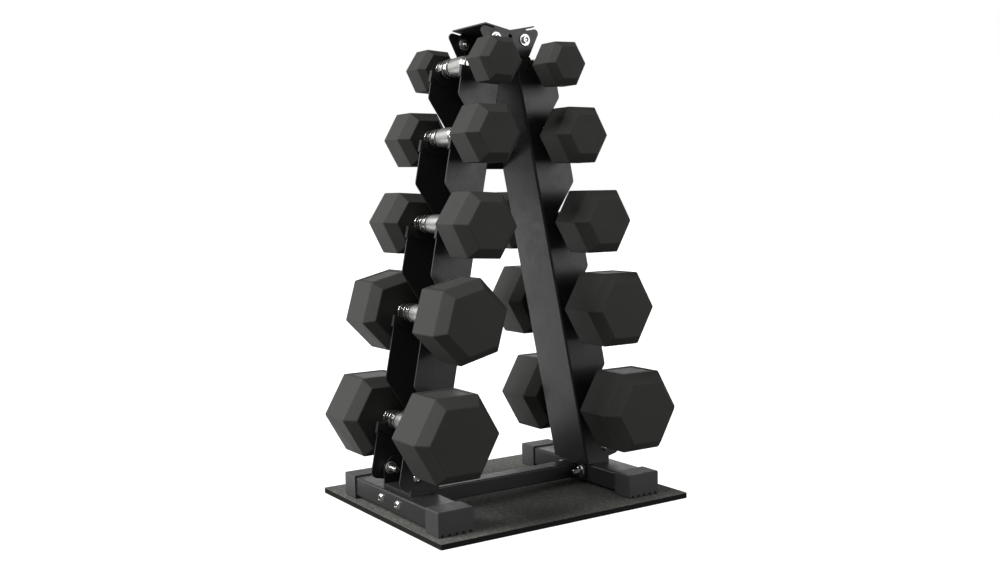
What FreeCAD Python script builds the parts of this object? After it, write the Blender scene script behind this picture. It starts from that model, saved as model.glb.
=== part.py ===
import FreeCAD, Part
import math
import os

# A-frame dumbbell rack with five tiers a side, its ten hex dumbbells and the mat it stands on.
# Millimetres. X runs across the A-frame, Y from front to rear along the dumbbell handles, Z up.
# The origin is on the floor, under the middle of the frame.

# Mat
MAT_WIDTH = 416.0
MAT_DEPTH = 350.0
MAT_THICKNESS = 8.0
MAT_SHIFT_X = 14.0             # the frame does not stand in the middle of its mat
MAT_SHIFT_Y = 17.0

# Feet: two rectangular tubes that run front to rear, with sleeve caps, joined by a cross tube
FOOT_X = 158.0
FOOT_WIDTH = 50.0
FOOT_HEIGHT = 27.5
FOOT_BOTTOM = 12.5
FOOT_WALL = 2.0
FOOT_CORNER = 3.0
FOOT_LENGTH = 264.0
CAP_WALL = 2.0
CAP_END = 4.0
CAP_LENGTH = 33.0
CAP_CORNER = 2.0
CAP_EASE = 1.0                 # rounding round the closed end
CAP_SLOTS = 5
CAP_SLOT = (4.2, 3.0, 2.5)     # width, height and depth of one drain slot in the end of a cap
CAP_SLOT_RISE = 0.8            # from the cap's lower edge to the slots
CAP_SLOT_PITCH = 10.5
CROSS_WIDTH = 26.0
CROSS_HEIGHT = 22.0
CROSS_Z = 27.0
CROSS_WALL = 1.5
CROSS_CORNER = 2.0
END_PLATE = (3.0, 68.0, 24.0)  # thickness, length and height
END_PLATE_CORNER = 4.0
FOOT_BOLT_Y = 24.0

# Legs: folded channels that lean in, web inward, with saddle notches in both flanges
WEB_X = 136.5                  # inner face of the web at floor level
LEAN = math.atan(0.2)
SHEET = 2.0
BEND = 3.0                     # outer bend radius of the sheet
LEG_WIDTH = 84.0
FLANGE_DEPTH = 63.5
LEG_BOTTOM = 41.0              # along the leg, from the floor: both ends are cut square
LEG_TOP = 684.0
LEG_SHOULDER = (28.0, 672.0)   # the flange's head, out from the web and along the leg
LEG_NECK = (14.0, 656.0)       # where it is narrowest, over the top notch
LEG_HEAD_ROUND = 3.0
FOOT_ROUND = 10.0

# Saddles, given along the leg (s) and out from the web (u)
SADDLE_S = (630.0, 530.0, 407.0, 280.0, 128.5)
SADDLE_U = 43.0
NOTCH_RADIUS = 17.2
NOTCH_WALL = 14.0              # height of the notch's straight inner wall
NOTCH_RISE = 52.0              # where its slanted upper edge meets the flange's outer edge
NOTCH_ROUND = 8.0              # where the slant meets the outer edge
NOTCH_BEND = 6.0               # where it meets the inner wall
PRONG_TIP = -10.5              # prongs end just below the middle of the saddle
PRONG_ROUND = 2.4
LINER = 2.2                    # plastic over the edge of the sheet
LINER_WIDTH = 6.0
LINER_APRON = 8.0              # how far the liner reaches down each side of the sheet, under the seat
LINER_GRIP = 3.5               # the same along the wall and the prong
LINER_WALL = 11.0
LINER_DROP = -24.5
LINER_TIP_ROUND = 4.5          # outer corner of the liner, over the prong

# Top bracket: one folded piece that caps both legs, a shallow V across its top
TOP_SHEET = 2.0
WING_UNDER = 685.0             # along the leg: the underside of the wings
WING_END = 39.5
PLATE_CORNER = (50.5, 682.5)
PLATE_LOW = (22.0, 646.0)
PLATE_BOTTOM_Z = 637.0
PLATE_ROUND = 6.0
PLATE_LOW_ROUND = 3.5
TOP_BOLT = (24.0, 661.0)       # x and z
RELIEF_HOLE_Z = 665.0
RELIEF_HOLE = 3.0
RELIEF_SLOT = 24.5             # where the slots between wing and plates start

# Mid brace: a flat strap across the rear flanges
BRACE_BOTTOM = 483.0
BRACE_HEIGHT = 26.0
BRACE_SHEET = 3.0
BRACE_ROUND = 5.0
BRACE_BOLT_OUT = 10.0          # out from the web
BRACE_END = 9.0                # from the bolt to the strap's end

# Foot brackets: folded U pieces welded on the feet, inside the channels
BRACKET_SHEET = 3.0
BRACKET_CLEARANCE = 0.2
BRACKET_NEAR = 3.0             # out from the web
BRACKET_OUT = 171.0            # x of its upright outer edge
BRACKET_TOP = 80.0
BRACKET_CUT = 12.0             # corner cut off each ear
BRACKET_ROUND = 4.0
LEG_BOLT = (161.0, 64.0)       # x and z

# Fasteners
BOLT = 8.0
SMALL_BOLT = 6.0
HOLE_PLAY = 0.6
HEAD_RATIO = 0.65              # head and nut height over shank diameter
FLATS_RATIO = 1.65             # size across flats over shank diameter
WASHER = 1.6
WASHER_RATIO = 2.15
WIDE_WASHER_RATIO = 2.75
BUTTON_RATIO = 1.75            # button head diameter over shank diameter
BUTTON_HEIGHT = 4.4
SOCKET_FLATS = 5.0
SOCKET_DEPTH = 2.6
SHORT_END = 4.0                # thread past the nut
FOOT_BOLT_END = 9.0
LEG_BOLT_END = 13.0

# Dumbbells, top tier first: flats, head length, axial and radial chamfer, rubber thickness
DUMBBELLS = (
    (59.0, 52.0, 10.0, 9.5, 2.5),
    (76.5, 69.0, 14.5, 13.5, 3.0),
    (87.0, 76.0, 16.0, 15.0, 3.0),
    (102.5, 84.0, 15.0, 14.0, 4.0),
    (112.0, 90.0, 15.5, 15.0, 4.0),
)
GRIP_HALF = 57.5               # half the clear length of the handle
# How each dumbbell was left in its saddles: shift along Y, and roll in degrees
LEFT_LIE = ((-3.0, -3.0), (1.0, 0.0), (-8.0, -3.0), (1.0, 14.0), (-4.0, 0.0))
RIGHT_LIE = ((1.0, 2.0), (4.0, 0.0), (-4.0, 0.0), (-3.0, 0.0), (-4.0, 0.0))
REST_GAP = 0.3

# Handle, measured out from its middle
GRIP_BULGE = 14.0              # the grip's radius at its middle
GRIP_END = (16.0, 13.2)        # where the grip ends, and its radius there
GRIP_TAPER = (18.0, 12.0)      # where the chamfer past it ends, and the radius there
NECK_RADIUS = 11.6
COLLAR_RADIUS = 13.0           # the part of the handle that rests in the saddles
TURNED_RINGS = ((20.5, 29.0, 13.4), (33.5, 46.0, COLLAR_RADIUS), (47.5, 51.5, 12.8))
RING_EASE = 0.5                # chamfer on each ring's two edges
HANDLE_IN_HEAD = 15.0

RIGHT = 1
LEFT = -1


def vec(x, y, z):
    return FreeCAD.Vector(x, y, z)


def box(x0, x1, y0, y1, z0, z1):
    return Part.makeBox(x1 - x0, y1 - y0, z1 - z0, vec(x0, y0, z0))


def rounded_wire(corners, y):
    """Closed outline in the plane of the given Y: each corner is (x, z, radius)."""
    points = [vec(c[0], y, c[1]) for c in corners]
    edges = []
    starts, ends = [], []
    for i, corner in enumerate(points):
        before, after = points[i - 1], points[(i + 1) % len(points)]
        radius = corners[i][2] if len(corners[i]) > 2 else 0.0
        to_before = (before - corner).normalize()
        to_after = (after - corner).normalize()
        half = to_before.getAngle(to_after) / 2
        back = radius / math.tan(half) if radius else 0.0
        starts.append(corner + to_before * back)
        ends.append(corner + to_after * back)
        if radius:
            middle = (to_before + to_after).normalize()
            near = corner + middle * (radius / math.sin(half) - radius)
            edges.append(Part.Arc(starts[i], near, ends[i]).toShape())
    for i in range(len(points)):
        start, end = ends[i], starts[(i + 1) % len(points)]
        if (end - start).Length > 1e-6:
            edges.append(Part.LineSegment(start, end).toShape())
    return Part.Wire(Part.__sortEdges__(edges))


def plate(corners, y0, y1):
    """The outline, extruded from y0 to y1."""
    face = Part.Face(rounded_wire(corners, y0))
    return face.extrude(vec(0, y1 - y0, 0))


def rod(radius, start, end):
    """A round rod between two points."""
    run = end - start
    return Part.makeCylinder(radius, run.Length, start, run)


def hexagon(flats, start, axis, height):
    """A hexagonal prism that stands on start and rises along axis."""
    radius = flats / math.sqrt(3)
    ring = [vec(radius * math.cos(a), radius * math.sin(a), 0)
            for a in (math.radians(60 * k) for k in range(7))]
    prism = Part.Face(Part.makePolygon(ring)).extrude(vec(0, 0, height))
    prism.Placement = FreeCAD.Placement(start, FreeCAD.Rotation(vec(0, 0, 1), axis))
    return prism


def washer(ratio, size, seat, way):
    disc = Part.makeCylinder(ratio * size / 2, WASHER, seat, way)
    return disc.cut(Part.makeCylinder(size / 2, WASHER, seat, way))


def nut_and_washer(size, far, axis, ratio):
    """A washer against the stack's far face, and the nut on it."""
    seat = far + axis * WASHER
    nut = hexagon(FLATS_RATIO * size, seat, axis, HEAD_RATIO * size)
    nut = nut.cut(rod(size / 2, seat, seat + axis * size))
    return [nut, washer(ratio, size, far, axis)]


def bolt_end(size, far, axis, spare):
    return far + axis * (WASHER + HEAD_RATIO * size + spare)


def hex_fastener(size, grip, start, axis, ratio, spare):
    """Hex bolt through a stack: head on start, nut past grip, a washer under each."""
    far = start + axis * grip
    head_seat = start - axis * WASHER
    bolt = hexagon(FLATS_RATIO * size, head_seat, axis * -1, HEAD_RATIO * size)
    bolt = bolt.fuse(rod(size / 2, head_seat, bolt_end(size, far, axis, spare))).removeSplitter()
    return [bolt, washer(ratio, size, start, axis * -1)] + nut_and_washer(size, far, axis, ratio)


def button_head(size, start, axis):
    """A domed head that stands on start and rises along axis, with a hex socket in its top."""
    radius = BUTTON_RATIO * size / 2
    ball = (radius * radius + BUTTON_HEIGHT * BUTTON_HEIGHT) / (2 * BUTTON_HEIGHT)
    halfway = math.asin(radius / ball) / 2
    rim, top, middle = vec(radius, 0, 0), vec(0, 0, BUTTON_HEIGHT), vec(0, 0, 0)
    shoulder = vec(ball * math.sin(halfway), 0, BUTTON_HEIGHT - ball * (1 - math.cos(halfway)))
    section = Part.Wire([Part.Arc(rim, shoulder, top).toShape(), Part.LineSegment(top, middle).toShape(),
                         Part.LineSegment(middle, rim).toShape()])
    dome = Part.Face(section).revolve(middle, vec(0, 0, 1), 360)
    dome = dome.cut(hexagon(SOCKET_FLATS, top, vec(0, 0, -1), SOCKET_DEPTH))
    dome.Placement = FreeCAD.Placement(start, FreeCAD.Rotation(vec(0, 0, 1), axis))
    return dome


def button_fastener(size, grip, start, axis, spare):
    """Socket button bolt through a stack: domed head straight on start, washer and nut past grip."""
    far = start + axis * grip
    shank = rod(size / 2, start, bolt_end(size, far, axis, spare))
    bolt = button_head(size, start, axis * -1).fuse(shank).removeSplitter()
    return [bolt] + nut_and_washer(size, far, axis, WASHER_RATIO)


def mirrored(shape):
    return shape.mirror(vec(0, 0, 0), vec(1, 0, 0))


def sided(shape, side):
    return shape if side == RIGHT else mirrored(shape)


def leaned(shape):
    """Carries a shape from the right leg's own frame (u, y, s) to the rack's frame."""
    moved = shape.copy()
    turn = FreeCAD.Rotation(vec(0, 1, 0), -math.degrees(LEAN))
    moved.Placement = FreeCAD.Placement(vec(WEB_X, 0, 0), turn).multiply(moved.Placement)
    return moved


def lean_point(u, s, y=0.0):
    x = WEB_X + u * math.cos(LEAN) - s * math.sin(LEAN)
    return vec(x, y, u * math.sin(LEAN) + s * math.cos(LEAN))


def on_leg(x, z):
    """The leg's own (u, s) of a point in the rack's frame."""
    return ((x - WEB_X) * math.cos(LEAN) + z * math.sin(LEAN),
            z * math.cos(LEAN) - (x - WEB_X) * math.sin(LEAN))


def web_x(z):
    """x of the web's inner face at height z."""
    return WEB_X - z * math.tan(LEAN)


def save(name, shapes):
    shapes = shapes if isinstance(shapes, list) else [shapes]
    whole = shapes[0] if len(shapes) == 1 else Part.makeCompound(shapes)
    if not whole.isValid():
        raise ValueError(name + " is not a valid shape")
    whole.exportStep("parts/" + name + ".step")
    print(name, len(whole.Solids), round(whole.Volume))


# ---------------------------------------------------------------- mat and feet

def make_mat():
    x, y = MAT_WIDTH / 2, MAT_DEPTH / 2
    return box(MAT_SHIFT_X - x, MAT_SHIFT_X + x, MAT_SHIFT_Y - y, MAT_SHIFT_Y + y, 0, MAT_THICKNESS)


def foot_holes():
    reach = FOOT_X + FOOT_WIDTH
    radius = (BOLT + HOLE_PLAY) / 2
    return [rod(radius, vec(0, y, CROSS_Z), vec(reach, y, CROSS_Z)) for y in (-FOOT_BOLT_Y, FOOT_BOLT_Y)]


def tube(x0, x1, z0, z1, wall, corner, y0, y1):
    outer = [(x0, z0, corner), (x1, z0, corner), (x1, z1, corner), (x0, z1, corner)]
    bore = corner - wall
    inner = [(x0 + wall, z0 + wall, bore), (x1 - wall, z0 + wall, bore),
             (x1 - wall, z1 - wall, bore), (x0 + wall, z1 - wall, bore)]
    return plate(outer, y0, y1).cut(plate(inner, y0, y1))


def make_foot_tube():
    half = FOOT_WIDTH / 2
    shape = tube(FOOT_X - half, FOOT_X + half, FOOT_BOTTOM, FOOT_BOTTOM + FOOT_HEIGHT,
                 FOOT_WALL, FOOT_CORNER, -FOOT_LENGTH / 2, FOOT_LENGTH / 2)
    return shape.cut(foot_holes())


def make_foot_cap():
    """The right foot's front cap: a sleeve with a closed end, thicker under the tube."""
    half = FOOT_WIDTH / 2 + CAP_WALL
    top = FOOT_BOTTOM + FOOT_HEIGHT + CAP_WALL
    front = -FOOT_LENGTH / 2 - CAP_END
    rear = front + CAP_LENGTH
    shape = plate([(FOOT_X - half, MAT_THICKNESS, CAP_CORNER), (FOOT_X + half, MAT_THICKNESS, CAP_CORNER),
                   (FOOT_X + half, top, CAP_CORNER), (FOOT_X - half, top, CAP_CORNER)], front, rear)
    outline = [e for e in shape.Edges if abs(e.BoundBox.YMin - front) < 1e-6 and e.BoundBox.YLength < 1e-6]
    shape = shape.makeFillet(CAP_EASE, outline)
    inner = FOOT_WIDTH / 2
    low, high = FOOT_BOTTOM, FOOT_BOTTOM + FOOT_HEIGHT
    pocket = plate([(FOOT_X - inner, low, FOOT_CORNER), (FOOT_X + inner, low, FOOT_CORNER),
                    (FOOT_X + inner, high, FOOT_CORNER), (FOOT_X - inner, high, FOOT_CORNER)],
                   front + CAP_END, rear)
    shape = shape.cut(pocket)
    wide, tall, deep = CAP_SLOT
    base = MAT_THICKNESS + CAP_SLOT_RISE
    for k in range(CAP_SLOTS):
        x = FOOT_X + (k - (CAP_SLOTS - 1) / 2) * CAP_SLOT_PITCH
        shape = shape.cut(box(x - wide / 2, x + wide / 2, front, front + deep, base, base + tall))
    return shape


def make_cross_tube():
    """Rectangular tube that joins the feet, between its two end plates."""
    end = FOOT_X - FOOT_WIDTH / 2 - END_PLATE[0]
    half = CROSS_WIDTH / 2
    low, high = CROSS_Z - CROSS_HEIGHT / 2, CROSS_Z + CROSS_HEIGHT / 2
    outer = box(-end, end, -half, half, low, high)
    round_edges = [e for e in outer.Edges if e.BoundBox.XLength > end]
    outer = outer.makeFillet(CROSS_CORNER, round_edges)
    wall = CROSS_WALL
    return outer.cut(box(-end, end, -half + wall, half - wall, low + wall, high - wall))


def make_end_plate():
    thick, long, tall = END_PLATE
    inner = FOOT_X - FOOT_WIDTH / 2
    shape = box(inner - thick, inner, -long / 2, long / 2, CROSS_Z - tall / 2, CROSS_Z + tall / 2)
    corners = [e for e in shape.Edges if e.BoundBox.XLength > thick / 2]
    return shape.makeFillet(END_PLATE_CORNER, corners).cut(foot_holes())


def make_foot_bolts():
    outer = FOOT_X + FOOT_WIDTH / 2
    grip = FOOT_WIDTH + END_PLATE[0]
    pieces = []
    for y in (-FOOT_BOLT_Y, FOOT_BOLT_Y):
        pieces += button_fastener(BOLT, grip, vec(outer, y, CROSS_Z), vec(-1, 0, 0), FOOT_BOLT_END)
    return pieces


# ---------------------------------------------------------------- legs and saddles

def flange_outline():
    """One flange in the leg's own frame, from the foot up the web, then down past the notches."""
    corners = [(0, LEG_BOTTOM), (0, LEG_TOP), (LEG_SHOULDER[0], LEG_TOP, LEG_HEAD_ROUND),
               LEG_SHOULDER + (LEG_HEAD_ROUND,), LEG_NECK + (LEG_HEAD_ROUND,)]
    inner = SADDLE_U - NOTCH_RADIUS
    for s in SADDLE_S:
        if s != SADDLE_S[0]:
            corners.append((FLANGE_DEPTH, s + NOTCH_RISE, NOTCH_ROUND))
        corners += [(inner, s + NOTCH_WALL, NOTCH_BEND), (inner, s - NOTCH_RADIUS, NOTCH_RADIUS),
                    (SADDLE_U, s - NOTCH_RADIUS), (SADDLE_U, s + PRONG_TIP),
                    (FLANGE_DEPTH, s + PRONG_TIP, PRONG_ROUND)]
    corners.append((FLANGE_DEPTH, LEG_BOTTOM, FOOT_ROUND))
    return corners


def make_flange(y0, y1):
    """A flange in the leg's frame, with its round saddle seats and its bolt holes."""
    shape = plate(flange_outline(), y0, y1)
    reach = vec(0, y1 - y0, 0)
    for s in SADDLE_S:
        start = vec(SADDLE_U, y0, s)
        shape = shape.cut(rod(NOTCH_RADIUS, start, start + reach))
    for point, size in ((LEG_BOLT, BOLT), (TOP_BOLT, SMALL_BOLT)):
        u, s = on_leg(*point)
        start = vec(u, y0, s)
        shape = shape.cut(rod((size + HOLE_PLAY) / 2, start, start + reach))
    return shape


def brace_bolt():
    """x and z of the bolt that holds one end of the mid brace to a rear flange."""
    z = BRACE_BOTTOM + BRACE_HEIGHT / 2
    return web_x(z) + BRACE_BOLT_OUT, z


def make_leg():
    half = LEG_WIDTH / 2
    web = box(0, SHEET, -half, half, LEG_BOTTOM, LEG_TOP)
    shape = web.fuse([make_flange(-half, SHEET - half), make_flange(half - SHEET, half)]).removeSplitter()
    bends = [e for e in shape.Edges
             if e.BoundBox.ZLength > LEG_TOP - LEG_BOTTOM - 1 and abs(e.BoundBox.XMax) < 1e-6]
    shape = leaned(shape.makeFillet(BEND, bends))
    x, z = brace_bolt()
    return shape.cut(rod((SMALL_BOLT + HOLE_PLAY) / 2, vec(x, 0, z), vec(x, half, z)))


def make_liner(s, side_y):
    """Plastic saddle pressed over one notch, in the leg's frame; side_y is the sheet's middle."""
    y0, y1 = side_y - LINER_WIDTH / 2, side_y + LINER_WIDTH / 2
    centre = vec(SADDLE_U, y0, s)
    far = centre + vec(0, LINER_WIDTH, 0)
    seat = NOTCH_RADIUS - LINER
    back = NOTCH_RADIUS + LINER_APRON
    inner = SADDLE_U - NOTCH_RADIUS
    tip = s + PRONG_TIP + LINER
    outer = FLANGE_DEPTH + LINER
    half_ring = rod(back, centre, far).cut(box(0, SADDLE_U + back, y0, y1, s, s + back))
    half_ring = half_ring.cut(box(SADDLE_U, SADDLE_U + back, y0, y1, tip, s + back))
    half_ring = half_ring.cut(box(outer, SADDLE_U + back, y0, y1, s - back, s + back))
    wall = plate([(inner - LINER_GRIP, s - 1), (inner + LINER, s - 1),
                  (inner + LINER, s + LINER_WALL, 1.0), (inner - LINER_GRIP, s + LINER_WALL, 1.0)], y0, y1)
    prong = plate([(FLANGE_DEPTH - LINER_GRIP, s + LINER_DROP), (outer, s + LINER_DROP, 1.0),
                   (outer, tip, LINER_TIP_ROUND), (SADDLE_U + seat / 2, tip),
                   (SADDLE_U + seat / 2, tip - LINER - LINER_GRIP),
                   (FLANGE_DEPTH - LINER_GRIP, tip - LINER - LINER_GRIP)], y0, y1)
    shape = half_ring.fuse([wall, prong]).cut(rod(seat, centre, far))
    sheet = make_flange(side_y - SHEET / 2, side_y + SHEET / 2)
    return shape.cut(sheet).removeSplitter()


def make_liners():
    middle = (LEG_WIDTH - SHEET) / 2
    return [leaned(make_liner(s, y)) for y in (-middle, middle) for s in SADDLE_S]


def make_foot_bracket():
    """U bracket on the right foot: a base on the tube and an ear inside each flange."""
    floor = FOOT_BOTTOM + FOOT_HEIGHT
    half = LEG_WIDTH / 2 - SHEET - BRACKET_CLEARANCE

    def near(z):
        return web_x(z) + BRACKET_NEAR / math.cos(LEAN)
    outline = [(near(floor), floor), (near(BRACKET_TOP), BRACKET_TOP, BRACKET_ROUND),
               (BRACKET_OUT - BRACKET_CUT, BRACKET_TOP, BRACKET_ROUND),
               (BRACKET_OUT, BRACKET_TOP - BRACKET_CUT, BRACKET_ROUND), (BRACKET_OUT, floor)]
    x, z = LEG_BOLT
    bolt_hole = rod((BOLT + HOLE_PLAY) / 2, vec(x, -half, z), vec(x, half, z))
    ears = [plate(outline, y, y + BRACKET_SHEET).cut(bolt_hole) for y in (-half, half - BRACKET_SHEET)]
    base = box(near(floor), BRACKET_OUT, -half, half, floor, floor + BRACKET_SHEET)
    return base.fuse(ears).removeSplitter()


def make_leg_bolts():
    x, z = LEG_BOLT
    pieces = []
    for way in (1, -1):
        start = vec(x, -way * LEG_WIDTH / 2, z)
        pieces += button_fastener(BOLT, SHEET + BRACKET_CLEARANCE + BRACKET_SHEET, start, vec(0, way, 0),
                                  LEG_BOLT_END)
    return pieces


# ---------------------------------------------------------------- top bracket and mid brace

def valley():
    """Height of the middle of the V, where the wings' upper faces meet."""
    return (WING_UNDER + TOP_SHEET - WEB_X * math.sin(LEAN)) / math.cos(LEAN)


def make_top_bracket():
    outer_y = LEG_WIDTH / 2 + TOP_SHEET
    top = WING_UNDER + TOP_SHEET
    end = lean_point(WING_END, top)
    inner_end = lean_point(WING_END, WING_UNDER)
    rise = TOP_SHEET / math.cos(LEAN)
    wing = plate([(0, valley()), (end.x, end.z), (inner_end.x, inner_end.z), (0, valley() - rise)],
                 -outer_y, outer_y)
    bend = lean_point(RELIEF_SLOT, top)
    slot = lean_point(RELIEF_SLOT, PLATE_CORNER[1])
    corner = lean_point(*PLATE_CORNER)
    low = lean_point(*PLATE_LOW)
    side = [(0, valley()), (bend.x, bend.z), (slot.x, slot.z), (corner.x, corner.z, PLATE_ROUND),
            (low.x, low.z, PLATE_LOW_ROUND), (0, PLATE_BOTTOM_Z)]
    shape = wing
    for y in (-outer_y, outer_y - TOP_SHEET):
        shape = shape.fuse(plate(side, y, y + TOP_SHEET))
    shape = shape.fuse(mirrored(shape)).removeSplitter()
    x, z = TOP_BOLT
    hole = (SMALL_BOLT + HOLE_PLAY) / 2
    for hole_x, hole_z, radius in ((-x, z, hole), (x, z, hole), (0, RELIEF_HOLE_Z, RELIEF_HOLE)):
        shape = shape.cut(rod(radius, vec(hole_x, -outer_y, hole_z), vec(hole_x, outer_y, hole_z)))
    return shape


def make_top_bolts():
    x, z = TOP_BOLT
    face = LEG_WIDTH / 2 + TOP_SHEET
    pieces = []
    for way in (1, -1):
        for bolt_x in (-x, x):
            pieces += hex_fastener(SMALL_BOLT, TOP_SHEET + SHEET, vec(bolt_x, -way * face, z),
                                   vec(0, way, 0), WIDE_WASHER_RATIO, SHORT_END)
    return pieces


def make_mid_brace():
    rear = LEG_WIDTH / 2
    x, z = brace_bolt()
    end, low = x + BRACE_END, BRACE_BOTTOM
    high = low + BRACE_HEIGHT
    shape = plate([(-end, low, BRACE_ROUND), (end, low, BRACE_ROUND),
                   (end, high, BRACE_ROUND), (-end, high, BRACE_ROUND)], rear, rear + BRACE_SHEET)
    hole = (SMALL_BOLT + HOLE_PLAY) / 2
    for hole_x in (-x, x):
        shape = shape.cut(rod(hole, vec(hole_x, rear, z), vec(hole_x, rear + BRACE_SHEET, z)))
    return shape


def make_brace_bolts():
    x, z = brace_bolt()
    rear = LEG_WIDTH / 2 + BRACE_SHEET
    pieces = []
    for bolt_x in (-x, x):
        pieces += hex_fastener(SMALL_BOLT, BRACE_SHEET + SHEET, vec(bolt_x, rear, z), vec(0, -1, 0),
                               WASHER_RATIO, SHORT_END)
    return pieces


# ---------------------------------------------------------------- dumbbells

def hex_ring(radius, y, roll):
    points = []
    for k in range(7):
        angle = math.radians(60 * k + roll)
        points.append(vec(radius * math.cos(angle), y, radius * math.sin(angle)))
    return Part.makePolygon(points)


def hex_head(flats, near, far, axial, radial, roll):
    """A head from y = near to y = far, chamfered all round at both ends."""
    full = flats / math.sqrt(3)
    rings = ((full - radial, near), (full, near + axial), (full, far - axial), (full - radial, far))
    return Part.makeLoft([hex_ring(radius, y, roll) for radius, y in rings], True, True)


def handle_outline():
    """Radius against distance from the middle of the handle, to where it enters the head."""
    points = [GRIP_END, GRIP_TAPER, (GRIP_TAPER[0], NECK_RADIUS)]
    for start, end, radius in TURNED_RINGS:
        points += [(start, NECK_RADIUS), (start, radius - RING_EASE), (start + RING_EASE, radius),
                   (end - RING_EASE, radius), (end, radius - RING_EASE), (end, NECK_RADIUS)]
    return points + [(GRIP_HALF + HANDLE_IN_HEAD, NECK_RADIUS)]


def make_handle():
    """Turned handle about the Y axis: a bulged grip, a ring and a collar at each end."""
    outline = handle_outline()
    grip_end, grip_radius = GRIP_END
    right = [vec(r, y, 0) for y, r in outline]
    left = [vec(r, -y, 0) for y, r in reversed(outline)]
    end = GRIP_HALF + HANDLE_IN_HEAD
    edges = [Part.Arc(vec(grip_radius, -grip_end, 0), vec(GRIP_BULGE, 0, 0),
                      vec(grip_radius, grip_end, 0)).toShape()]
    rest = right + [vec(0, end, 0), vec(0, -end, 0)] + left
    edges += [Part.LineSegment(a, b).toShape() for a, b in zip(rest, rest[1:])]
    face = Part.Face(Part.Wire(Part.__sortEdges__(edges)))
    return face.revolve(vec(0, 0, 0), vec(0, 1, 0), 360)


def rest_centre(s):
    """Where a handle's axis lies in the saddle at s: on the lowest part of the liner's seat."""
    drop = NOTCH_RADIUS - LINER - COLLAR_RADIUS - REST_GAP
    point = lean_point(SADDLE_U, s)
    return vec(point.x, 0, point.z - drop)


def make_dumbbell(spec, lie, s, side):
    flats, length, axial, radial, rubber = spec
    shift, roll = lie
    near, far = GRIP_HALF, GRIP_HALF + length
    handle = make_handle()
    socket = rod(NECK_RADIUS, vec(0, -near - HANDLE_IN_HEAD, 0), vec(0, near + HANDLE_IN_HEAD, 0))
    heads, cores = [], []
    for way in (RIGHT, LEFT):
        outer = hex_head(flats, near, far, axial, radial, roll)
        core = hex_head(flats - 2 * rubber, near + rubber, far - rubber, axial, radial, roll)
        if way == LEFT:
            outer = outer.mirror(vec(0, 0, 0), vec(0, 1, 0))
            core = core.mirror(vec(0, 0, 0), vec(0, 1, 0))
        heads.append(outer.cut(core).cut(socket))
        cores.append(core.cut(socket))
    centre = rest_centre(s)
    place = vec(side * centre.x, shift, centre.z)

    def placed(shape):
        moved = shape.copy()
        moved.translate(place)
        return moved
    return [placed(h) for h in heads], [placed(c) for c in cores], placed(handle)


# ---------------------------------------------------------------- all parts

def main():
    os.makedirs("parts", exist_ok=True)
    save("mat", make_mat())
    save("cross_tube", make_cross_tube())
    save("cross_tube_end_plates", [sided(make_end_plate(), side) for side in (LEFT, RIGHT)])
    save("top_bracket", make_top_bracket())
    save("top_bolts", make_top_bolts())
    save("mid_brace", make_mid_brace())
    save("mid_brace_bolts", make_brace_bolts())
    for label, side, lies in (("left", LEFT, LEFT_LIE), ("right", RIGHT, RIGHT_LIE)):
        save(label + "_foot_tube", sided(make_foot_tube(), side))
        cap = sided(make_foot_cap(), side)
        save(label + "_front_foot_cap", cap)
        save(label + "_rear_foot_cap", cap.mirror(vec(0, 0, 0), vec(0, 1, 0)))
        save(label + "_foot_bolts", [sided(p, side) for p in make_foot_bolts()])
        save(label + "_foot_bracket", sided(make_foot_bracket(), side))
        save(label + "_leg", sided(make_leg(), side))
        save(label + "_leg_bolts", [sided(p, side) for p in make_leg_bolts()])
        save(label + "_saddle_liners", [sided(p, side) for p in make_liners()])
        for tier, (spec, lie, s) in enumerate(zip(DUMBBELLS, lies, SADDLE_S), start=1):
            heads, cores, handle = make_dumbbell(spec, lie, s, side)
            name = "%s_dumbbell_%d" % (label, tier)
            save(name + "_heads", heads)
            save(name + "_cores", cores)
            save(name + "_handle", handle)


main()
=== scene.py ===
import math

import bmesh
import bpy
from mathutils import Matrix, Vector


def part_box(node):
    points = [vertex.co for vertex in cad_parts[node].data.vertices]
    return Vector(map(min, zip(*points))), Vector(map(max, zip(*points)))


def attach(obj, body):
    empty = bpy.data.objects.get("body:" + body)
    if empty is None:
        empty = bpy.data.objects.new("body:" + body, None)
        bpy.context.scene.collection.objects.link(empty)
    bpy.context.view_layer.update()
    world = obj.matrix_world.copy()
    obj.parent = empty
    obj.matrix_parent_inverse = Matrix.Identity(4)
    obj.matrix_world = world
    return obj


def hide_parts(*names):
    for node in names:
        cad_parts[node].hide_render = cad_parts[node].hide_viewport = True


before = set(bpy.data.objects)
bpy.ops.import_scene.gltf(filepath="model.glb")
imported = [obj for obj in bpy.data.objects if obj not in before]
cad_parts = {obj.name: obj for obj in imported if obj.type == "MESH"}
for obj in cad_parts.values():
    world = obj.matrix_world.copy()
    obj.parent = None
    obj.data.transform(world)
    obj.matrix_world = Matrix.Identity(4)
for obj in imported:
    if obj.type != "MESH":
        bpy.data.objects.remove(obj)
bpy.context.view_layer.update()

# An A-frame dumbbell rack with its ten dumbbells, on a rubber mat. Lengths are in metres.

MM = 0.001
RACK = "rack"
TIERS = range(1, 6)
SIDES = ("left", "right")
X, Y, Z = Vector((1, 0, 0)), Vector((0, 1, 0)), Vector((0, 0, 1))


# ---------------------------------------------------------------- materials

# A Mix node has sockets for every kind of data, so its colour sockets go by number
MIX_FACTOR, MIX_A, MIX_B, MIX_RESULT = 0, 6, 7, 2
TARNISH = 0.88                 # darkest tone of plated steel, over its lightest
PLASTIC_WEAR = 0.12            # how much the roughness of moulded plastic varies


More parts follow.
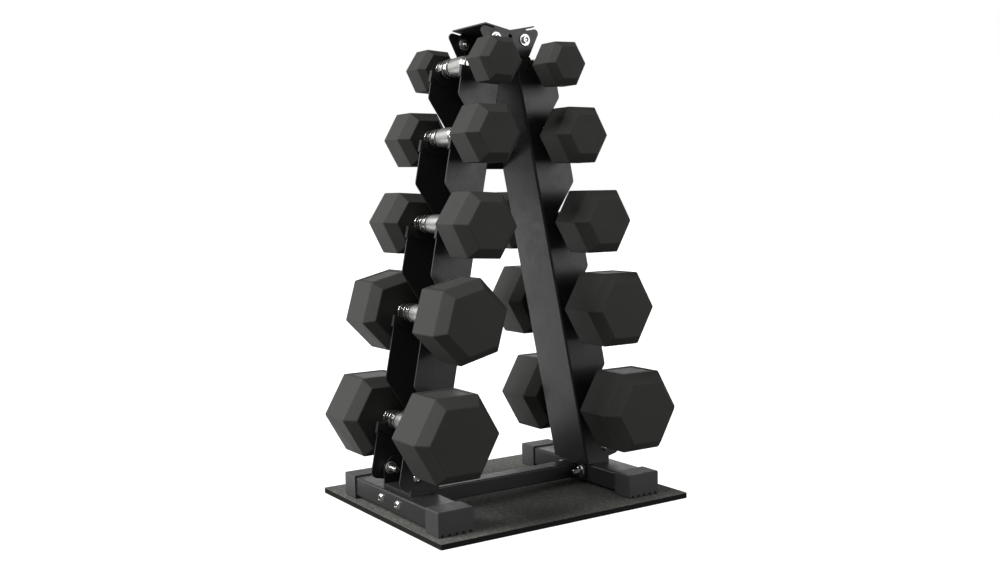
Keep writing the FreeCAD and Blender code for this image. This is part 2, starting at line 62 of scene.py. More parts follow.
class Shader:
    """A node material whose nodes are added and linked in one call each."""

    def __init__(self, name, **settings):
        self.material = bpy.data.materials.new(name)
        self.material.use_nodes = True
        self.nodes = self.material.node_tree.nodes
        self.links = self.material.node_tree.links
        self.surface = self.nodes["Principled BSDF"]
        self.place = self.nodes.new("ShaderNodeTexCoord").outputs["Object"]
        for socket, value in settings.items():
            self.surface.inputs[socket.replace("_", " ")].default_value = value

    def add(self, kind, inputs=None, **options):
        node = self.nodes.new("ShaderNode" + kind)
        for option, value in options.items():
            setattr(node, option, value)
        for socket, value in (inputs or {}).items():
            if isinstance(value, bpy.types.NodeSocket):
                self.links.new(value, node.inputs[socket])
            else:
                node.inputs[socket].default_value = value
        return node

    def noise(self, scale, detail, roughness=0.5, place=None):
        inputs = {"Vector": place or self.place, "Scale": scale, "Detail": detail, "Roughness": roughness}
        return self.add("TexNoise", inputs).outputs["Fac"]

    def cells(self, scale):
        return self.add("TexVoronoi", {"Vector": self.place, "Scale": scale}, feature="F1")

    def ramp(self, value, low, high, to_low=0.0, to_high=1.0):
        inputs = {"Value": value, "From Min": low, "From Max": high, "To Min": to_low, "To Max": to_high}
        return self.add("MapRange", inputs).outputs["Result"]

    def mix(self, factor, a, b):
        node = self.add("Mix", data_type="RGBA")
        for index, value in ((MIX_FACTOR, factor), (MIX_A, a), (MIX_B, b)):
            if isinstance(value, bpy.types.NodeSocket):
                self.links.new(value, node.inputs[index])
            else:
                node.inputs[index].default_value = value
        return node.outputs[MIX_RESULT]

    def math(self, operation, a, b):
        return self.add("Math", {0: a, 1: b}, operation=operation).outputs[0]

    def bump(self, height, distance, strength, below=None):
        inputs = {"Height": height, "Distance": distance, "Strength": strength}
        if below:
            inputs["Normal"] = below
        return self.add("Bump", inputs).outputs["Normal"]

    def put(self, socket, value):
        self.links.new(value, self.surface.inputs[socket])


def grey(value, warm=0.0):
    """An opaque grey; warm lifts red and green over blue."""
    return (value, value, value * (1 - warm), 1.0)


def powder_coat():
    """Satin black powder coat: a fine sand texture, faint clouding and handling marks."""
    s = Shader("black_powder_coat", Specular_IOR_Level=0.42)
    sand = s.noise(650, 3, 0.7)
    cloud = s.mix(s.noise(9, 3), grey(0.015), grey(0.021))
    s.put("Base Color", s.mix(s.ramp(sand, 0.5, 0.8), cloud, grey(0.042)))
    rub = s.noise(60, 4, 0.7)
    s.put("Roughness", s.ramp(rub, 0.3, 0.75, 0.34, 0.44))
    s.put("Normal", s.bump(sand, 0.0001, 0.6))
    return s.material


def moulded_rubber():
    """Matte black rubber of the heads: fine grain, mould bloom and a little dust."""
    s = Shader("head_rubber", Specular_IOR_Level=0.12)
    bloom = s.noise(26, 4, 0.6)
    dust = s.noise(420, 3, 0.7)
    base = s.mix(bloom, grey(0.036, 0.05), grey(0.047, 0.07))
    s.put("Base Color", s.mix(s.ramp(dust, 0.55, 0.8, 0.0, 0.35), base, grey(0.07, 0.07)))
    s.put("Roughness", s.ramp(bloom, 0.3, 0.7, 0.5, 0.62))
    grain = s.noise(1500, 2)
    lumps = s.noise(160, 2)
    s.put("Normal", s.bump(grain, 0.00005, 0.6, s.bump(lumps, 0.0002, 0.25)))
    return s.material


def panel_rubber():
    """The recessed marking panels, paler and smoother than the head round them."""
    s = Shader("panel_rubber", Specular_IOR_Level=0.3)
    rub = s.noise(240, 4, 0.7)
    s.put("Base Color", s.mix(rub, grey(0.03, 0.05), grey(0.075, 0.05)))
    s.put("Roughness", s.ramp(rub, 0.3, 0.7, 0.4, 0.56))
    s.put("Normal", s.bump(s.noise(1200, 2), 0.00005, 0.6))
    return s.material


def mat_rubber():
    """Rolled crumb rubber: dark, with small paler crumbs and an open, gritty surface."""
    s = Shader("mat_rubber", Specular_IOR_Level=0.3)
    crumb = s.cells(460)
    tone = s.add("SeparateColor", {"Color": crumb.outputs["Color"]}).outputs["Red"]
    cloud = s.noise(14, 4, 0.6)
    base = s.mix(cloud, grey(0.066, 0.06), grey(0.105, 0.1))
    speck = s.ramp(tone, 0.7, 1.0, 0.0, 0.55)
    s.put("Base Color", s.mix(speck, base, grey(0.24, 0.1)))
    s.put("Roughness", s.ramp(cloud, 0.3, 0.7, 0.74, 0.88))
    grit = s.math("ADD", s.noise(700, 3, 0.7), s.math("MULTIPLY", crumb.outputs["Distance"], 0.6))
    s.put("Normal", s.bump(grit, 0.0004, 0.7))
    return s.material


def mat_edge_painted_shade():
    """The mat's cut sides: the same crumb rubber, with painted shade that makes them nearly black."""
    s = Shader("shaded_edge_of_mat", Specular_IOR_Level=0.15)
    streak = s.add("Mapping", {"Vector": s.place, "Scale": (1.0, 1.0, 6.0)}).outputs["Vector"]
    # painted shade: the sides' colour is kept near black, far darker than the top's crumb rubber
    s.put("Base Color", s.mix(s.noise(260, 3, 0.7, streak), grey(0.006), grey(0.016, 0.05)))
    s.put("Roughness", s.ramp(s.noise(180, 2), 0.3, 0.7, 0.8, 0.92))
    s.put("Normal", s.bump(s.noise(480, 3, 0.7), 0.0004, 0.6))
    return s.material


def moulded_plastic(name, dark, light, shine):
    """Black moulded plastic with a spark-eroded grain."""
    s = Shader(name, Specular_IOR_Level=0.4)
    cloud = s.noise(30, 3)
    s.put("Base Color", s.mix(cloud, grey(dark), grey(light)))
    s.put("Roughness", s.ramp(s.noise(90, 4, 0.7), 0.3, 0.7, shine, shine + PLASTIC_WEAR))
    s.put("Normal", s.bump(s.noise(1300, 2), 0.00006, 0.6))
    return s.material


def bright_steel(name, tone, shine, worn, scratch):
    """Plated steel: fine drawn scratches, and patches that are duller than the rest."""
    s = Shader(name, Metallic=1.0)
    haze = s.noise(130, 5, 0.7)
    s.put("Base Color", s.mix(haze, (*[c * TARNISH for c in tone], 1), (*tone, 1)))
    s.put("Roughness", s.ramp(haze, 0.25, 0.75, shine, worn))
    stretch = s.add("Mapping", {"Vector": s.place, "Scale": (1.0, 12.0, 12.0)}).outputs["Vector"]
    s.put("Normal", s.bump(s.noise(600, 2, 0.6, stretch), 0.00002, scratch))
    return s.material


MATERIALS = {
    "black_steel": powder_coat(),
    "head_rubber": moulded_rubber(),
    "panel": panel_rubber(),
    "mat_rubber": mat_rubber(),
    # the mat's sides: the same rubber with painted shade
    "mat_shaded_edge": mat_edge_painted_shade(),
    "cap_plastic": moulded_plastic("cap_plastic", 0.036, 0.05, 0.45),
    "liner_plastic": moulded_plastic("liner_plastic", 0.012, 0.018, 0.42),
    "zinc_steel": bright_steel("zinc_steel", (0.9, 0.9, 0.88), 0.3, 0.48, 0.4),
    "bolt_steel": bright_steel("bolt_steel", (0.56, 0.56, 0.55), 0.16, 0.3, 0.4),
    "handle_chrome": bright_steel("handle_chrome", (0.6, 0.6, 0.58), 0.14, 0.26, 0.3),
    "grip": bright_steel("knurled_grip", (0.46, 0.46, 0.44), 0.34, 0.46, 0.5),
}


# ---------------------------------------------------------------- mesh helpers

SMOOTH_DEG = 35                # edges that turn more than this stay sharp in the shading
HANDLE_SMOOTH_DEG = 50
FASTENER_SMOOTH_DEG = 30
WELD = 2e-6                    # CAD corners nearer to each other than this are one
FLAT_DEG = 0.5                 # faces that differ by less than this are merged
CORNER_DEG = 40                # edges that turn more than this are rounded over
SECOND_MATERIAL = 1            # index of a mesh's second material


def piece(name, mesh, body, slot, replaced, smooth_deg=SMOOTH_DEG):
    """Puts a finished mesh in the scene: shading, material, its body and the CAD nodes it stands for."""
    if not mesh.materials:
        mesh.materials.append(MATERIALS[slot])
    mesh.shade_smooth()
    mesh.set_sharp_from_angle(angle=math.radians(smooth_deg))
    obj = bpy.data.objects.new(name, mesh)
    bpy.context.scene.collection.objects.link(obj)
    settle_normals(obj)
    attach(obj, body)
    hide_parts(*replaced)
    return obj


def settle_normals(obj):
    """Leans the shading normals to the big faces, so that flats stay flat beside rounded edges."""
    modifier = obj.modifiers.new("normals", "WEIGHTED_NORMAL")
    modifier.mode = "FACE_AREA"
    modifier.weight = 100
    modifier.keep_sharp = True
    shown = obj.evaluated_get(bpy.context.evaluated_depsgraph_get())
    mesh = bpy.data.meshes.new_from_object(shown)
    obj.modifiers.clear()
    obj.data = mesh


def to_mesh(bm, name):
    bmesh.ops.recalc_face_normals(bm, faces=bm.faces)
    mesh = bpy.data.meshes.new(name)
    bm.to_mesh(mesh)
    bm.free()
    return mesh


def softened(node, width):
    """A copy of a CAD node's mesh with its sharp edges rounded over."""
    bm = bmesh.new()
    bm.from_mesh(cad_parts[node].data)
    bmesh.ops.remove_doubles(bm, verts=bm.verts, dist=WELD)
    bmesh.ops.dissolve_limit(bm, angle_limit=math.radians(FLAT_DEG), verts=bm.verts, edges=bm.edges)
    corner = math.radians(CORNER_DEG)
    sharp = [e for e in bm.edges if len(e.link_faces) == 2 and e.calc_face_angle(0.0) > corner]
    bmesh.ops.bevel(bm, geom=sharp, offset=width, segments=2, profile=0.5, affect="EDGES",
                    clamp_overlap=True, miter_outer="ARC")
    for layer in list(bm.loops.layers.uv):
        bm.loops.layers.uv.remove(layer)
    return to_mesh(bm, node + "_soft")


def lathe(rings, count, name):
    """A closed turned mesh about the Y axis; each ring is (y, radius) or (y, [radius per step])."""
    bm = bmesh.new()
    rows = []
    for y, radius in rings:
        radii = radius if hasattr(radius, "__len__") else [radius] * count
        row = []
        for k in range(count):
            angle = 2 * math.pi * k / count
            row.append(bm.verts.new((radii[k] * math.cos(angle), y, radii[k] * math.sin(angle))))
        rows.append(row)
    for a, b in zip(rows, rows[1:]):
        for k in range(count):
            n = (k + 1) % count
            bm.faces.new((a[k], a[n], b[n], b[k]))
    bm.faces.new(rows[0])
    bm.faces.new(list(reversed(rows[-1])))
    return to_mesh(bm, name)


# ---------------------------------------------------------------- dumbbells

HEAD_EASE = 0.012              # rounding of a head's edges, over its width across flats
RIDGE_SHARE = 0.998            # corners further out than this share of the longest reach are on a ridge
SAME_PLACE = 1e-5              # corners nearer to the end than this are on it
UPRIGHT = 0.05                 # a face whose normal leans less than this along Y runs along the handle
PANEL_DEPTH = 0.7 * MM
PANEL_MARGIN = 0.065           # plain border round the panel, over the head's width across flats
PANEL_RIM = 0.3                # border inside the sunk panel, over the one round it


def read_head(node, centre, way):
    """The hex head on one side of the grip, measured from the CAD node's own corners."""
    corners = [v.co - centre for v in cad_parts[node].data.vertices]
    corners = [c for c in corners if c.y * way > 0]
    reach = [math.hypot(c.x, c.z) for c in corners]
    full = max(reach)
    ridge = [c for c, r in zip(corners, reach) if r > RIDGE_SHARE * full]
    near = min(abs(c.y) for c in corners)
    far = max(abs(c.y) for c in corners)
    ends = [r for c, r in zip(corners, reach) if abs(c.y) > far - SAME_PLACE]
    roll = math.atan2(ridge[0].z, ridge[0].x) % math.radians(60)
    return {"full": full, "face": max(ends), "roll": roll, "near": near, "far": far,
            "near_ridge": min(abs(c.y) for c in ridge), "far_ridge": max(abs(c.y) for c in ridge)}


def head_mesh(h, way, name):
    """Moulded hex head: chamfered ends, rounded ridges, and a sunk marking panel on its upper flat."""
    bm = bmesh.new()
    rings = ((h["near"], h["face"]), (h["near_ridge"], h["full"]),
             (h["far_ridge"], h["full"]), (h["far"], h["face"]))
    rows = []
    for y, radius in rings:
        turn = [h["roll"] + math.radians(60 * k) for k in range(6)]
        rows.append([bm.verts.new((radius * math.cos(a), way * y, radius * math.sin(a))) for a in turn])
    for a, b in zip(rows, rows[1:]):
        for k in range(6):
            n = (k + 1) % 6
            bm.faces.new((a[k], a[n], b[n], b[k]))
    bm.faces.new(rows[0])
    bm.faces.new(rows[-1])
    bmesh.ops.recalc_face_normals(bm, faces=bm.faces)
    flats = h["full"] * math.sqrt(3)
    bmesh.ops.bevel(bm, geom=list(bm.edges), offset=HEAD_EASE * flats, segments=3, profile=0.5,
                    affect="EDGES", clamp_overlap=True)
    bm.faces.ensure_lookup_table()
    around = [f for f in bm.faces if abs(f.normal.y) < UPRIGHT]
    top = max(around, key=lambda f: f.normal.z * f.calc_area())
    margin = PANEL_MARGIN * flats
    bmesh.ops.inset_individual(bm, faces=[top], thickness=margin, depth=0)
    bmesh.ops.inset_individual(bm, faces=[top], thickness=PANEL_DEPTH, depth=-PANEL_DEPTH)
    bmesh.ops.inset_individual(bm, faces=[top], thickness=PANEL_RIM * margin, depth=0)
    top.material_index = SECOND_MATERIAL
    mesh = to_mesh(bm, name)
    mesh.materials.append(MATERIALS["head_rubber"])
    mesh.materials.append(MATERIALS["panel"])
    return mesh


KNURL_ROUND = 36               # diamonds round the grip
KNURL_ALONG = 14
KNURL_STEP = 4                 # mesh steps per diamond
KNURL_DEPTH = 0.45 * MM
KNURL_END = 15.6 * MM          # the knurling stops just short of the grip's end
KNURL_FADE = 8                 # how fast the knurling deepens from its ends
GRIP_END = 16.0 * MM
GRIP_EDGE = 13.2 * MM          # the grip's radius at its end
GRIP_BULGE = 0.8 * MM          # how much more it is in the middle
TAPER_END = 18.0 * MM
TAPER_RADIUS = 12.0 * MM
NECK_RADIUS = 11.6 * MM
RING_EASE = 0.5 * MM
SCORE = 0.15 * MM              # half width and depth of the line turned round each ring
TURNED_RINGS = ((20.5, 29.0, 13.4), (33.5, 46.0, 13.0), (47.5, 51.5, 12.8))  # start, end, radius in mm


def turned_ring(start, end, radius):
    """Profile of one turned ring: rounded corners and a scored line round its middle."""
    turns = [math.radians(a) for a in (0, 30, 60, 90)]
    rise = [(start + RING_EASE * (1 - math.cos(a)), radius - RING_EASE * (1 - math.sin(a))) for a in turns]
    fall = [(start + end - y, r) for y, r in reversed(rise)]
    middle = (start + end) / 2
    scored = [(middle - SCORE, radius), (middle, radius - SCORE), (middle + SCORE, radius)]
    return [(start, NECK_RADIUS)] + rise + scored + fall + [(end, NECK_RADIUS)]


def wave(t):
    """A triangle wave from 0 to 1 with period 1."""
    return abs(2 * (t - math.floor(t + 0.5)))


def grip_ring(j, count):
    """One ring of the knurled, bulged grip; j counts rings from one end."""
    rows = KNURL_ALONG * KNURL_STEP
    y = KNURL_END * (2 * j / rows - 1)
    base = GRIP_EDGE + GRIP_BULGE * (1 - (y / GRIP_END) ** 2)
    fade = min(1.0, KNURL_FADE * (1 - abs(y) / KNURL_END))
    radii = []
    for k in range(count):
        a = k / KNURL_STEP + j / KNURL_STEP
        b = k / KNURL_STEP - j / KNURL_STEP
        cut = max(wave(a), wave(b))
        radii.append(base - KNURL_DEPTH * fade * cut)
    return (y, radii)


def handle_mesh(half_length):
    """Turned handle: knurled grip, then a ring, a collar and an end ring on each side."""
    right = [(GRIP_END, GRIP_EDGE), (TAPER_END, TAPER_RADIUS), (TAPER_END, NECK_RADIUS)]
    for ring in TURNED_RINGS:
        right += turned_ring(*[v * MM for v in ring])
    right.append((half_length, NECK_RADIUS))
    left = [(-y, r) for y, r in reversed(right)]
    count = KNURL_ROUND * KNURL_STEP
    grip = [grip_ring(j, count) for j in range(KNURL_ALONG * KNURL_STEP + 1)]
    mesh = lathe(left + grip + right, count, "handle")
    mesh.materials.append(MATERIALS["handle_chrome"])
    mesh.materials.append(MATERIALS["grip"])
    for face in mesh.polygons:
        if abs(face.center.y) < GRIP_END:
            face.material_index = SECOND_MATERIAL
    return mesh


def make_dumbbells():
    shared = None
    for side in SIDES:
        for tier in TIERS:
            body = "%s_dumbbell_%d" % (side, tier)
            low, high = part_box(body + "_handle")
            centre = (low + high) / 2
            shared = shared or handle_mesh((high.y - low.y) / 2)
            handle = piece(body + "_grip", shared, body, "handle_chrome", [body + "_handle"],
                           HANDLE_SMOOTH_DEG)
            handle.location = centre
            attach(handle, body)
            stands_for = [body + "_heads", body + "_cores"]
            for label, way in (("front", -1), ("rear", 1)):
                name = body + "_" + label + "_head"
                mesh = head_mesh(read_head(body + "_heads", centre, way), way, name)
                mesh.transform(Matrix.Translation(centre))
                piece(name, mesh, body, "head_rubber", stands_for)


# ---------------------------------------------------------------- rack

EASE = 0.3 * MM                # rounding of sheet, tube and plastic edges
BRACKET_EASE = 0.12 * MM       # the foot brackets' edges are sharper
MAT_CORNER = 3 * MM
MAT_RIM = 0.9 * MM
MAT_RIM_DEG = 60               # the mat's edges that turn more than this are eased
MAT_TOP = 0.6                  # faces whose normal rises more than this are the mat's top


def make_steelwork():
    """Folded sheet, tubes and brackets, their cut edges rounded over by the coating."""
    sheets = ["top_bracket", "mid_brace"]
    tubes = ["cross_tube", "cross_tube_end_plates"]
    for side in SIDES:
        sheets += [side + "_leg", side + "_foot_bracket"]
        tubes += [side + "_foot_tube"]
    for node in sheets + tubes:
        ease = BRACKET_EASE if node.endswith("foot_bracket") else EASE
        piece(node + "_steel", softened(node, ease), RACK, "black_steel", [node])


def make_plastics():
    for side in SIDES:
        node = side + "_saddle_liners"
        piece(node + "_moulding", softened(node, EASE), RACK, "liner_plastic", [node])
        for end in ("front", "rear"):
            node = "%s_%s_foot_cap" % (side, end)
            piece(node + "_moulding", softened(node, EASE), RACK, "cap_plastic", [node])


def make_mat():
    low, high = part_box("mat")
    bm = bmesh.new()
    bmesh.ops.create_cube(bm, size=1.0)
    size, middle = high - low, (low + high) / 2
    for v in bm.verts:
        v.co = Vector(v.co[i] * size[i] + middle[i] for i in range(3))
    upright = [e for e in bm.edges if abs(e.verts[0].co.z - e.verts[1].co.z) > size.z / 2]
    bmesh.ops.bevel(bm, geom=upright, offset=MAT_CORNER, segments=4, profile=0.5, affect="EDGES")
    rims = [e for e in bm.edges if e.calc_face_angle(0.0) > math.radians(MAT_RIM_DEG)]
    bmesh.ops.bevel(bm, geom=rims, offset=MAT_RIM, segments=3, profile=0.5, affect="EDGES")
    mesh = to_mesh(bm, "floor_mat")
    mesh.materials.append(MATERIALS["mat_rubber"])
    mesh.materials.append(MATERIALS["mat_shaded_edge"])
    # every face but the top gets the mat's painted-shade material, nearly black
    for face in mesh.polygons:
        if face.normal.z < MAT_TOP:
            face.material_index = SECOND_MATERIAL
    piece("floor_mat", mesh, RACK, "mat_rubber", ["mat"])


# ---------------------------------------------------------------- fasteners

ROUND = 48                     # steps round a bolt, a multiple of 6
WASHER = 1.6 * MM
HEAD_RATIO = 0.65              # head and nut height over shank diameter
FLATS_RATIO = 1.65             # across flats over shank diameter
CHAMFER_DISC = 0.95            # round face of a hexagon's chamfered end, over its flats
CHAMFER_DEG = 30
DISH_DEPTH = 0.3               # of a hex head's indented top, over the head's height
DISH_MOUTH = 0.7               # its radius at the top, over the round face's
HEAD_INNER = 0.3               # radius of a hex head's innermost rings, over the round face's
BORE_RATIO = 1.02              # bore of a washer or nut, over the shank
WASHER_EASE = 0.15             # of the washer's thickness
BUTTON_RADIUS = 7.0 * MM
BUTTON_HEIGHT = 4.4 * MM
SOCKET_FLATS = 5.0 * MM
SOCKET_DEPTH = 2.6 * MM
SOCKET_EASE = 0.3 * MM
SOCKET_MOUTH = 1.08            # round mouth of the socket, over its corners
BUTTON_EDGE = 0.97             # radius of the button's seat, over its widest
DOME_STEPS = 12
END_RING = 0.5                 # radius of the ring inside a flat end, over the end's own
TIP_RING = 0.4                 # the same at the thread's tip
PITCH = 0.16                   # thread pitch over diameter
THREAD_DEPTH = 0.07            # over diameter
STEPS_PER_TURN = 6             # mesh rings in one turn of the thread
LEAD_TIP = 0.82                # radius at the thread's tip, over its full one
LEAD_LENGTH = 0.25             # of the thread's tapered tip, over the shank's radius
THREAD_RUN = 1 * MM            # the thread starts this far inside the nut
WRENCH_TURN = 37.0             # degrees from one bolt's hexagon to the next one's
WASHER_FINISH, BOLT_FINISH = 0, 1
# Axis, then shank and washer diameter and the thread past the nut in mm, and the head's kind
FASTENERS = {
    "top_bolts": (Y, 6.0, 16.5, 4.0, "hex"),
    "mid_brace_bolts": (Y, 6.0, 12.9, 4.0, "hex"),
    "leg_bolts": (Y, 8.0, 17.2, 13.0, "button"),
    "foot_bolts": (X, 8.0, 17.2, 9.0, "button"),
}


def hex_reach(flats, angle):
    """Distance from the middle of a hexagon to its side, in the direction of angle."""
    turned = angle % (math.pi / 3) - math.pi / 6
    return flats / 2 / math.cos(turned)


def hex_radii(flats):
    return [hex_reach(flats, 2 * math.pi * k / ROUND) for k in range(ROUND)]


def hex_rings(flats, bore, y0, y1):
    """Rings of a hex nut or head whose two ends are turned to a 30 degree cone."""
    reach = hex_radii(flats)
    disc = CHAMFER_DISC * flats / 2
    fall = [(r - disc) * math.tan(math.radians(CHAMFER_DEG)) for r in reach]
    return [([y0] * ROUND, [bore] * ROUND), ([y0] * ROUND, [disc] * ROUND), ([y0 + f for f in fall], reach),
            ([y1 - f for f in fall], reach), ([y1] * ROUND, [disc] * ROUND), ([y1] * ROUND, [bore] * ROUND)]


def round_rings(steps):
    return [([y] * ROUND, [r] * ROUND) for y, r in steps]


def head_rings(flats, height):
    """A cold-formed hex bolt head, its top indented."""
    disc = CHAMFER_DISC * flats / 2
    inner = HEAD_INNER * disc
    dish = round_rings([(DISH_DEPTH * height, inner), (0, DISH_MOUTH * disc)])
    return dish + hex_rings(flats, disc, 0, height)[1:-1] + round_rings([(height, inner)])


def washer_rings(radius, bore, y0):
    """A flat washer with its stamped edges broken."""
    ease = WASHER_EASE * WASHER
    y1 = y0 + WASHER
    return round_rings([(y0, bore), (y0, radius - ease), (y0 + ease, radius),
                        (y1 - ease, radius), (y1, radius - ease), (y1, bore)])


def thread_rings(radius, y0, start, y1):
    """A plain shank from y0 to start, then a helical thread with a tapered lead at y1."""
    pitch = PITCH * 2 * radius
    rows = round((y1 - start) / pitch * STEPS_PER_TURN)
    rings = round_rings([(y0, END_RING * radius), (y0, radius)])
    for j in range(rows + 1):
        y = start + (y1 - start) * j / rows
        lead = min(1.0, LEAD_TIP + (1 - LEAD_TIP) * (y1 - y) / (LEAD_LENGTH * radius))
        cut = [THREAD_DEPTH * 2 * radius * wave(y / pitch - k / ROUND) for k in range(ROUND)]
        rings.append(([y] * ROUND, [(radius - c) * lead for c in cut]))
    return rings + round_rings([(y1, TIP_RING * radius)])


def dome_rise(r):
    """Height of a button head over its seat, at a distance r from its middle."""
    ball = (BUTTON_RADIUS ** 2 + BUTTON_HEIGHT ** 2) / (2 * BUTTON_HEIGHT)
    return math.sqrt(ball * ball - r * r) + BUTTON_HEIGHT - ball


def button_rings(seat):
    """A domed head that rises against local Y from its seat, with a hex socket sunk in its top."""
    socket = hex_radii(SOCKET_FLATS)
    mouth = SOCKET_MOUTH * max(socket)
    floor = seat - BUTTON_HEIGHT + SOCKET_DEPTH
    seat_radii = (END_RING * BUTTON_RADIUS, BUTTON_EDGE * BUTTON_RADIUS)
    rings = round_rings([(seat, r) for r in seat_radii])
    for j in range(DOME_STEPS + 1):
        r = BUTTON_RADIUS + (mouth - BUTTON_RADIUS) * j / DOME_STEPS
        rings += round_rings([(seat - dome_rise(r), r)])
    rings += [([seat - dome_rise(mouth) + SOCKET_EASE] * ROUND, socket), ([floor] * ROUND, socket)]
    return rings + round_rings([(floor + SOCKET_EASE, END_RING * min(socket))])


def add_turned(whole, rings, move, bored=False, finish=BOLT_FINISH):
    """Adds a solid made of rings about local Y; a bored one closes on itself instead of at its ends."""
    rows = []
    for ys, radii in rings:
        row = []
        for k in range(ROUND):
            a = 2 * math.pi * k / ROUND
            spot = Vector((radii[k] * math.cos(a), ys[k], radii[k] * math.sin(a)))
            row.append(whole.verts.new(move @ spot))
        rows.append(row)
    following = rows[1:] + rows[:1] if bored else rows[1:]
    for a, b in zip(rows, following):
        for k in range(ROUND):
            n = (k + 1) % ROUND
            whole.faces.new((a[k], a[n], b[n], b[k])).material_index = finish
    if not bored:
        whole.faces.new(rows[0]).material_index = finish
        whole.faces.new(list(reversed(rows[-1]))).material_index = finish


def bolt_lines(node, axis):
    """Each bolt of a CAD node: a point on its line, and its head's and its tip's places along the axis."""
    groups = {}
    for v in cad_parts[node].data.vertices:
        groups.setdefault((v.co.x > 0, v.co.y > 0), []).append(v.co)
    for key in sorted(groups):
        low = Vector([min(p[i] for p in groups[key]) for i in range(3)])
        high = Vector([max(p[i] for p in groups[key]) for i in range(3)])
        middle = (low + high) / 2
        tip, head = sorted((low.dot(axis), high.dot(axis)), key=abs)
        yield middle - axis * middle.dot(axis), head, tip


def fastener_mesh(node, axis, shank, washer, spare, kind):
    """Bolts with their washers and nuts, chamfered and threaded, each where its CAD solid is."""
    whole = bmesh.new()
    radius, flats, nut = shank / 2, FLATS_RATIO * shank, HEAD_RATIO * shank
    bore = BORE_RATIO * radius
    for number, (line, head, tip) in enumerate(bolt_lines(node, axis)):
        ahead = axis if tip > head else -axis
        side = Matrix.Rotation(math.radians(WRENCH_TURN * number), 3, ahead) @ Z
        basis = Matrix((side, ahead, side.cross(ahead))).transposed().to_4x4()
        move = Matrix.Translation(line + axis * head) @ basis
        end = abs(tip - head)
        nut_end = end - spare
        if kind == "button":
            seat = dome_rise(SOCKET_FLATS / 2)
            add_turned(whole, button_rings(seat), move)
        else:
            seat = nut
            add_turned(whole, head_rings(flats, nut), move)
            add_turned(whole, washer_rings(washer / 2, bore, nut), move, True, WASHER_FINISH)
        add_turned(whole, thread_rings(radius, seat, nut_end - THREAD_RUN, end), move)
        add_turned(whole, hex_rings(flats, bore, nut_end - nut, nut_end), move, True)
        far_washer = washer_rings(washer / 2, bore, nut_end - nut - WASHER)
        add_turned(whole, far_washer, move, True, WASHER_FINISH)
    mesh = to_mesh(whole, node + "_set")
    mesh.materials.append(MATERIALS["zinc_steel"])
    mesh.materials.append(MATERIALS["bolt_steel"])
    return mesh


def make_fasteners():
    for name, (axis, shank, washer, spare, kind) in FASTENERS.items():
        nodes = [name] if kind == "hex" else [side + "_" + name for side in SIDES]
        for node in nodes:
            mesh = fastener_mesh(node, axis, shank * MM, washer * MM, spare * MM, kind)
            piece(node + "_set", mesh, RACK, "zinc_steel", [node], FASTENER_SMOOTH_DEG)


# ---------------------------------------------------------------- floor, lights and camera

FLOOR_SIZE = 20.0
BACKDROP_RADIUS = 19.0
AMBIENT = 0.2                  # strength of the light that comes from all round
LIT_POINT = (0, 0, 0.35)       # what a softbox points at, unless it says otherwise
CAMERA_PLACE = (-0.8918, -1.3662, 0.4449)
CAMERA_TURN = (-33.28, -4.37, -0.97)    # yaw, pitch and roll in degrees
CAMERA_LENS = 40.75            # mm, on a sensor SENSOR_WIDTH wide
SENSOR_WIDTH = 36.0


def glow(name, strength):
    """A plain white glow, for what only the camera sees."""
    material = bpy.data.materials.new(name)
    material.use_nodes = True
    nodes, links = material.node_tree.nodes, material.node_tree.links
    nodes.clear()
    emission = nodes.new("ShaderNodeEmission")
    emission.inputs["Strength"].default_value = strength
    links.new(emission.outputs[0], nodes.new("ShaderNodeOutputMaterial").inputs["Surface"])
    return material


def make_studio():
    """A wide pale floor, and a white backdrop all round that only the camera sees.

    The floor gives no bounced light and shows in no reflection; two lamps low on it stand in for that.
    """
    bm = bmesh.new()
    bmesh.ops.create_grid(bm, x_segments=1, y_segments=1, size=FLOOR_SIZE)
    mesh = to_mesh(bm, "studio_floor")
    s = Shader("studio_floor", Roughness=0.9, Specular_IOR_Level=0.1)
    s.put("Base Color", s.mix(s.noise(2, 2), grey(0.86), grey(0.88)))
    mesh.materials.append(s.material)
    floor = bpy.data.objects.new("studio_floor", mesh)
    floor.visible_diffuse = floor.visible_glossy = False
    bm = bmesh.new()
    bmesh.ops.create_icosphere(bm, subdivisions=4, radius=BACKDROP_RADIUS)
    mesh = to_mesh(bm, "backdrop")
    mesh.materials.append(glow("backdrop", 1.0))
    backdrop = bpy.data.objects.new("backdrop", mesh)
    for ray in ("diffuse", "glossy", "transmission", "volume_scatter", "shadow"):
        setattr(backdrop, "visible_" + ray, False)
    for obj in (floor, backdrop):
        bpy.context.scene.collection.objects.link(obj)
    return floor


def aim(obj, where, target):
    """Puts a lamp in the scene at where, pointed at target."""
    obj.location = where
    obj.rotation_euler = (Vector(target) - Vector(where)).to_track_quat("-Z", "Y").to_euler()
    bpy.context.scene.collection.objects.link(obj)
    return obj


def softbox(name, where, size, power, target=LIT_POINT):
    light = bpy.data.lights.new(name, "AREA")
    light.shape = "RECTANGLE"
    light.size, light.size_y = size
    light.energy = power
    return aim(bpy.data.objects.new(name, light), where, target)


def sun(name, direction, strength, spread_deg):
    light = bpy.data.lights.new(name, "SUN")
    light.energy = strength
    light.angle = math.radians(spread_deg)
    return aim(bpy.data.objects.new(name, light), direction, (0, 0, 0))


def linked(name, obj, state):
    """A collection that names obj for light linking, as included or excluded."""
    group = bpy.data.collections.new(name)
    group.objects.link(obj)
    group.collection_objects[0].light_linking.link_state = state
    return group


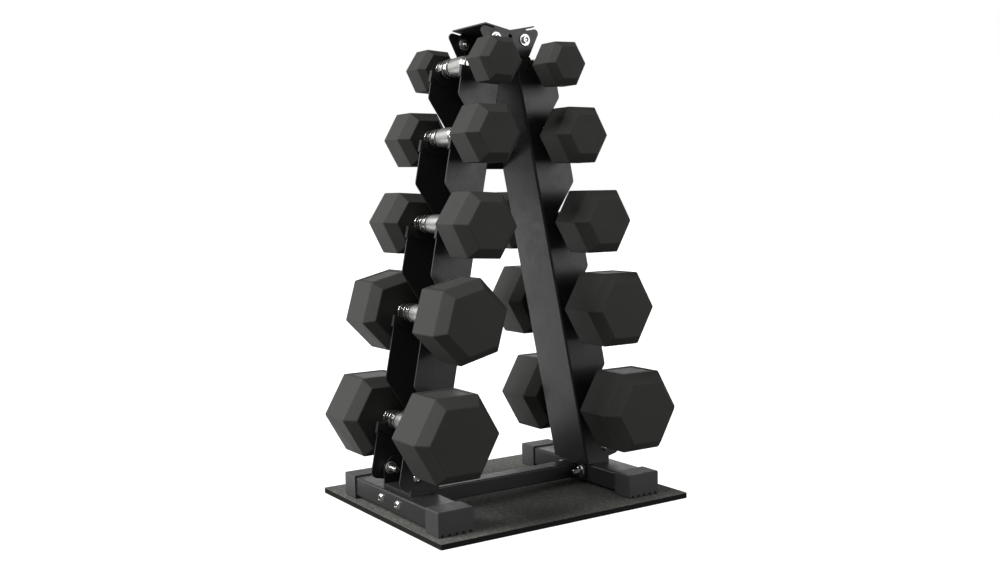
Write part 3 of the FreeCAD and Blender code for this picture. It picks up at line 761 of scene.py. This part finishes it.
def make_lights(floor):
    """Soft lights. The floor has a lamp of its own, which the rack doesn't shade, and the others skip it."""
    world = bpy.data.worlds.new("studio")
    world.use_nodes = True
    background = world.node_tree.nodes["Background"]
    background.inputs["Color"].default_value = grey(1.0)
    background.inputs["Strength"].default_value = AMBIENT
    bpy.context.scene.world = world
    wash = sun("floor_wash", (0, 0, 3), 4.6, 120)
    wash.light_linking.receiver_collection = linked("floor_alone", floor, "INCLUDE")
    wash.light_linking.blocker_collection = linked("floor_blocks", floor, "INCLUDE")
    for lamp in (sun("left_key", (-2.3, 0.4, 1.8), 4.6, 30),
                 softbox("front_right_box", (1.5, -2.1, 0.8), (1.7, 1.5), 23),
                 softbox("rear_left_box", (-1.05, 1.6, 0.95), (0.8, 1.1), 6),
                 softbox("floor_card", (-0.75, 1.0, 0.005), (1.7, 1.6), 9.5, (-0.75, 1.001, 2)),
                 softbox("floor_patch", (-0.75, 1.3, 0.01), (0.6, 0.4), 2, (-0.75, 1.301, 2)),
                 softbox("rear_right_box", (1.7, 2.4, 0.9), (1.6, 1.2), 7)):
        lamp.light_linking.receiver_collection = linked(lamp.name + "_skips", floor, "EXCLUDE")
    bpy.context.scene.view_settings.view_transform = "Standard"


def make_camera():
    """The camera stands off the front left corner, a little higher than the middle tier."""
    yaw, pitch, roll = (math.radians(a) for a in CAMERA_TURN)
    ahead = Vector((-math.sin(yaw) * math.cos(pitch), math.cos(yaw) * math.cos(pitch), math.sin(pitch)))
    right = Vector((math.cos(yaw), math.sin(yaw), 0))
    up = right.cross(ahead)
    turned_right = math.cos(roll) * right + math.sin(roll) * up
    turned_up = math.cos(roll) * up - math.sin(roll) * right
    camera = bpy.data.cameras.new("camera")
    camera.sensor_fit = "HORIZONTAL"
    camera.sensor_width = SENSOR_WIDTH
    camera.lens = CAMERA_LENS
    obj = bpy.data.objects.new("camera", camera)
    axes = Matrix((turned_right, turned_up, -ahead)).transposed().to_4x4()
    obj.matrix_world = Matrix.Translation(CAMERA_PLACE) @ axes
    bpy.context.scene.collection.objects.link(obj)
    bpy.context.scene.camera = obj


def main():
    make_camera()
    make_lights(make_studio())
    make_mat()
    make_steelwork()
    make_plastics()
    make_fasteners()
    make_dumbbells()


main()
